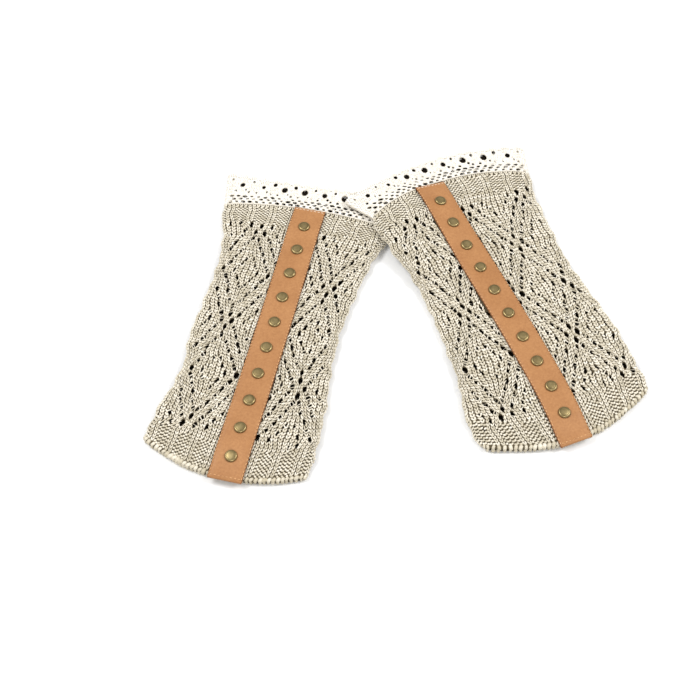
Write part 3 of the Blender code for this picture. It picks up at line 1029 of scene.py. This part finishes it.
def lace_holes(cuff, shift):
    """Holes of a lace panel, in the form of eyelet_table, with u in place of across. The
    motifs start that many scallops along."""
    rng = np.random.default_rng(SEED + 5)
    spots = [(0.5 + shift + 2 * k + p, share, wide, long)
             for k in range(-1, LACE_SCALLOPS // 2 + 1) for p, share, wide, long in LACE_MOTIF]
    spots += [((k + along) * NET_PITCH, share, wide, long)
              for share, wide, long, along in LACE_NET
              for k in range(int(LACE_SCALLOPS / NET_PITCH) + 1)]
    holes = []
    for p, share, wide, long in spots:
        if HOLES_FROM_SIDE < p < LACE_SCALLOPS - HOLES_FROM_SIDE:
            u, v, _ = (float(x) for x in lace_plan(cuff, p, share))
            size, turn = 1 + HOLE_STRAY * rng.uniform(-1, 1), HOLE_STRAY * rng.uniform(-1, 1)
            hole = (u, v, turn, wide * size, long * size)
            if apart(hole, holes, HOLES_APART):
                holes.append(hole)
    return holes


def lace_ground(cuff, face, holes):
    """One panel of the trim with its scallops and its holes."""
    mesh, x, y = unit_grid(LACE_SCALLOPS * LACE_COLUMNS, LACE_GRID_ROWS)
    share = LACE_START + (1 - LACE_START) * (y + 1) / 2
    u, v, _ = lace_plan(cuff, (x + 1) / 2 * LACE_SCALLOPS * 0.99999, share)
    set_places(mesh, np.stack([u, v, np.full(len(u), LACE_THICK / 2)], axis=1))
    bmesh.ops.solidify(mesh, geom=mesh.faces, thickness=LACE_THICK)
    prisms = bmesh.new()
    for hole in holes:
        add_prism(prisms, *hole, -2.0, 2.0)
    mesh = cut_through(mesh, prisms)
    u, v, w = places_of(mesh).T
    s, run = lace_place(cuff, u, v)
    # Upward faces of the back panel, away from the side folds, take the near-black painted shade
    for cut_face in mesh.faces:
        shaded = face < 0 and cut_face.normal.z > 0.5
        cut_face.material_index = int(shaded and abs(s[cut_face.verts[0].index]) < SHADED_TO)
    set_places(mesh, to_frame(cuff, u, v, w + LACE_LIFT + lace_level(run, face, s)))
    return mesh


def posts_and_links(cuff, holes):
    """Threads of a panel, row by row and clear of its holes: the scallops along, share of the
    way up and height of their points, and one thread's triangles."""
    grain, faces = yarn_grain(2)
    post = (grain[:, 0] * POST_WIDTH / POSTS_PER_SCALLOP, grain[:, 1] * POST_LENGTH / LACE_ROWS)
    link = (grain[:, 1] * LINK_LENGTH / POSTS_PER_SCALLOP, grain[:, 0] * LINK_WIDTH)
    count = LACE_SCALLOPS * POSTS_PER_SCALLOP
    for row in range(LACE_ROWS):
        p = np.arange(count) + 0.5 + 0.5 * (row % 2)
        p = p[p < count - 0.2] / POSTS_PER_SCALLOP
        for up, thread, triangles, reach in ((POST_UP, post, faces, POST_REACH),
                                             (LINK_UP, link, faces[:, ::-1], LINK_REACH)):
            share = (row + up) / LACE_ROWS
            u, v, _ = lace_plan(cuff, p, share)
            along = p[~inside_hole(u, v, holes, reach)][:, None] + thread[0]
            yield along, share + thread[1] + 0 * along, grain[:, 2] + 0 * along, triangles


def lace_threads(cuff, face, holes):
    """Crochet threads of a panel: rows of upright posts between lines of chain, and picots."""
    rng = np.random.default_rng(SEED + 9)
    thick = 2 * THREAD_RADIUS * (1.0 if face > 0 else BACK_THREAD)
    parts = []
    for p, share, up, triangles in posts_and_links(cuff, holes):
        p = np.clip(p, 0.0, LACE_SCALLOPS - 1e-4)
        u, v, run = lace_plan(cuff, p, np.minimum(share, 1.0))
        u, v = part_round_eyelets(u, v, u.mean(axis=1, keepdims=True), holes)
        w = lace_level(run, face, 2 * p / LACE_SCALLOPS - 1) + up * thick
        places = to_frame(cuff, u, v, w + LACE_LIFT + THREAD_RISE[face])
        parts.append((places, triangles, rng.uniform(0.5, 1.0, len(p))))
    grain, faces = yarn_grain(2)
    p = (np.arange(LACE_SCALLOPS * PICOTS_PER_SCALLOP) + 0.5) / PICOTS_PER_SCALLOP
    u, v, run = (x[:, None] for x in lace_plan(cuff, p, 1.0 + 0 * p))
    level = lace_level(run, face, 2 * p[:, None] / LACE_SCALLOPS - 1) + LACE_LIFT
    x, y, z = (grain * np.array(PICOT_SIZE)).T
    places = to_frame(cuff, u + x, v + y + PICOT_OUT, level + LACE_THICK / 2 + z)
    return parts + [(places, faces, rng.uniform(0.6, 1.0, len(p)))]


def lace_trim(side):
    """Front and back panels of the scalloped trim."""
    cuff = CUFFS[side]
    for name, face, shift in LACE_PANELS:
        holes = lace_holes(cuff, shift)
        panel = bmesh_object(f"{side}_lace_panel_{name}", lace_ground(cuff, face, holes),
                             LACE_GROUND_PAINTED_SHADE, LACE_INSIDE_PAINTED_SHADE)
        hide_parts(f"{side}_lace_{name}")
        label = f"{side}_lace_threads_{name}"
        threads = object_from(label, tiled_mesh(label, lace_threads(cuff, face, holes)), LACE)
        for piece in (panel, threads):
            finish_piece(piece)
        p = np.linspace(0, LACE_SCALLOPS - 1e-3, 200)
        u, _, run = lace_plan(cuff, p, 1.0 + 0 * p)


# Leather strip and studs

def strip_level(cuff, v):
    """Height of the strip's underside along its middle line."""
    return tube_height(cuff, 0.0, np.asarray(v, float)) + STRIP_CLEAR


def edge_fall(cuff, x, v):
    """0 on the flat of the strip and 1 at its rounded edges and ends. x is 1 at its edge."""
    near_end = np.minimum(v, cuff["strip_top"] - v)
    return np.maximum(smooth_step(np.abs(x), EDGE_FROM, 1 - EDGE_FROM),
                      1 - smooth_step(near_end, 0, END_ROUND))


def leather_strip(side):
    """The strip: rounded edges drawn down to the knit, and notched at each sewing stitch."""
    cuff = CUFFS[side]
    length = cuff["strip_top"]
    mesh, x, y = unit_grid(STRIP_COLUMNS, int(length / SEW_PITCH) * ROWS_PER_SEW)
    x, v = np.sin(x * pi / 2), (y + 1) / 2 * length
    edge = edge_fall(cuff, x, v)
    notch = NOTCH * edge * (0.5 + 0.5 * np.cos(2 * pi * v / SEW_PITCH))
    inward = np.sign(x) * notch * (np.abs(x) > NOTCH_FROM)
    u = strip_middle(cuff, v) + x * STRIP_WIDTH / 2 - inward
    w = strip_level(cuff, v) + STRIP_THICK - EDGE_DROP * edge - 0.5 * notch
    set_places(mesh, np.stack([u, v, w], axis=1))
    stain = mesh.verts.layers.float.new("edge")
    depth = EDGE_STAIN * smooth_step(np.abs(x), STAIN_FROM, 1 - STAIN_FROM)
    for vert, value in zip(mesh.verts, depth):
        vert[stain] = value
    bmesh.ops.solidify(mesh, geom=mesh.faces, thickness=HIDE_THICK)
    set_places(mesh, to_frame(cuff, *places_of(mesh).T))
    strip = bmesh_object(f"{side}_leather_strip", mesh, LEATHER)
    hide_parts(f"{side}_strip")
    return finish_piece(strip)


def dashes(cuff, spots, along_v, length, material, name):
    """Sewing thread: a dash of thread, half sunk, at each spot (u from the middle line, v)."""
    rng = np.random.default_rng(SEED + 12)
    grain, faces = yarn_grain(2)
    spots = np.array(spots)
    x, y, z = (grain * np.array((2 * SEW_RADIUS, length, 2 * SEW_RADIUS))).T
    if not along_v:
        x, y, faces = y, x, faces[:, ::-1]
    side, v = spots[:, :1] + x, spots[:, 1:] + y
    drop = EDGE_DROP * edge_fall(cuff, side / (STRIP_WIDTH / 2), v)
    w = strip_level(cuff, v) + STRIP_THICK - drop + SEW_RISE + z
    places = to_frame(cuff, strip_middle(cuff, v) + side, v, w)
    mesh = tiled_mesh(name, [(places, faces, rng.uniform(0.5, 1.0, len(spots)))])
    return finish_piece(object_from(name, mesh, material))


def strip_sewing(side):
    """Tan dashes down both long edges and across the foot, and pale ones across the head."""
    cuff = CUFFS[side]
    length = cuff["strip_top"]
    inset = STRIP_WIDTH / 2 - SEW_INSET
    down, across = int(length / SEW_PITCH), int(2 * inset / END_PITCH)
    edges = [(way * inset, k * length / down) for way in (-1, 1) for k in range(1, down)]
    foot, head = ([((k + 0.5) / across * 2 * inset - inset, v) for k in range(across)]
                  for v in (END_INSET, length - END_INSET))
    return [dashes(cuff, edges, True, EDGE_DASH, SEWING, f"{side}_strip_sewing"),
            dashes(cuff, foot, False, FOOT_DASH, SEWING, f"{side}_foot_sewing"),
            dashes(cuff, head, False, HEAD_DASH, PALE_SEWING, f"{side}_head_sewing")]


def stud_caps(side):
    """Ten low studs with a rolled rim, a groove and a flat crown, on one piece."""
    cuff = CUFFS[side]
    turned = bmesh.new()
    line = [turned.verts.new((radius, 0.0, height)) for radius, height in STUD_PROFILE]
    edges = [turned.edges.new(pair) for pair in zip(line, line[1:])]
    bmesh.ops.spin(turned, geom=line + edges, cent=(0, 0, 0), axis=(0, 0, 1), dvec=(0, 0, 0),
                   angle=2 * pi, steps=STUD_STEPS, use_merge=True)
    bmesh.ops.remove_doubles(turned, verts=turned.verts, dist=0.001)
    bmesh.ops.recalc_face_normals(turned, faces=turned.faces)
    bmesh.ops.triangulate(turned, faces=turned.faces)
    cap, faces = points_and_triangles(turned)
    from_groove = (np.hypot(cap[:, 0], cap[:, 1]) - GROOVE_RADIUS) / GROOVE_WIDTH
    # Dark brown at the groove is the wash; dark brown on the low side, below 0.5 mm, is painted
    # shade where the stud meets the leather
    wash_and_shade = GROOVE_WASH * np.exp(-from_groove**2) + (cap[:, 2] < 0.5)
    v = cuff["stud_first"] - STUD_PITCH * np.arange(STUD_COUNT)[:, None] + cap[:, 1]
    u = strip_middle(cuff, v - cap[:, 1]) + cap[:, 0]
    places = to_frame(cuff, u, v, strip_level(cuff, v) + STRIP_THICK + cap[:, 2])
    name = f"{side}_stud_caps"
    tones = np.broadcast_to(np.clip(wash_and_shade, 0, 1), places.shape[:2])
    caps = object_from(name, tiled_mesh(name, [(places, faces, tones)], "wash_and_shade"), BRASS)
    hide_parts(*(f"{side}_stud_{k + 1:02d}" for k in range(STUD_COUNT)))
    return finish_piece(caps)


# The camera of the photograph and the lamps
CAMERA_LENS = 65.47
CAMERA_ELEVATION = 57.0
CAMERA_PLACE = (-SHIFT[0] * MM, (-437.3 - SHIFT[1]) * MM, 0.6735)
WORLD_STRENGTH = 0.66
# name, place, size across, watts
LAMPS = (
    ("softbox", (-0.75, 0.15, 1.1), 0.6, 10.0),
    ("second_softbox", (0.85, 0.1, 1.0), 0.6, 9.0),
    ("rim", (0.1, -1.3, 0.8), 0.35, 4.0),
)


def studio():
    """Pale floor, soft light from both sides and behind, and the photograph's camera."""
    scene = bpy.context.scene
    material, tree, shader = new_material("white_paper_sweep")
    fill(shader, Roughness=0.9, Base_Color=blend(tree, clouds(tree, 30.0), "#ededed", "#f0f0f0"))
    sheet = bmesh.new()
    bmesh.ops.create_grid(sheet, x_segments=1, y_segments=1, size=2.0,
                          matrix=Matrix.Translation((0, 0, -0.05 * MM)))
    bmesh_object(FLOOR, sheet, material)
    for name, place, size, power in LAMPS:
        lamp = bpy.data.lights.new(name, "AREA")
        lamp.shape = "DISK"
        lamp.size, lamp.energy = size, power
        holder = bpy.data.objects.new(name, lamp)
        holder.location = place
        holder.rotation_euler = (-Vector(place)).to_track_quat("-Z", "Y").to_euler()
        scene.collection.objects.link(holder)
    scene.world = bpy.data.worlds.new("studio_air")
    scene.world.use_nodes = True
    fill(scene.world.node_tree.nodes["Background"], Strength=WORLD_STRENGTH,
         Color=(1.0, 1.0, 1.0, 1.0))
    scene.view_settings.view_transform = "Standard"
    scene.camera = bpy.data.objects.new("camera", bpy.data.cameras.new("camera"))
    scene.camera.data.lens = CAMERA_LENS
    scene.camera.location = CAMERA_PLACE
    scene.camera.rotation_euler = (radians(90 - CAMERA_ELEVATION), 0.0, 0.0)
    scene.collection.objects.link(scene.camera)


def whole_cuff(side):
    """One cuff: its knit with the yarn, and the trims that lie on it."""
    cuff = CUFFS[side]
    knit, yarns = knit_tube(side)
    lace_trim(side)
    trims = [leather_strip(side), *strip_sewing(side), stud_caps(side)]
    levels = np.linspace(0, 1, 60)
    widths = 2 * half_round(cuff, 20 + 170 * levels, 0.0)
    hem, top = ends_at(cuff, 2 * levels - 1)


studio()
for cuff_side in CUFFS:
    whole_cuff(cuff_side)
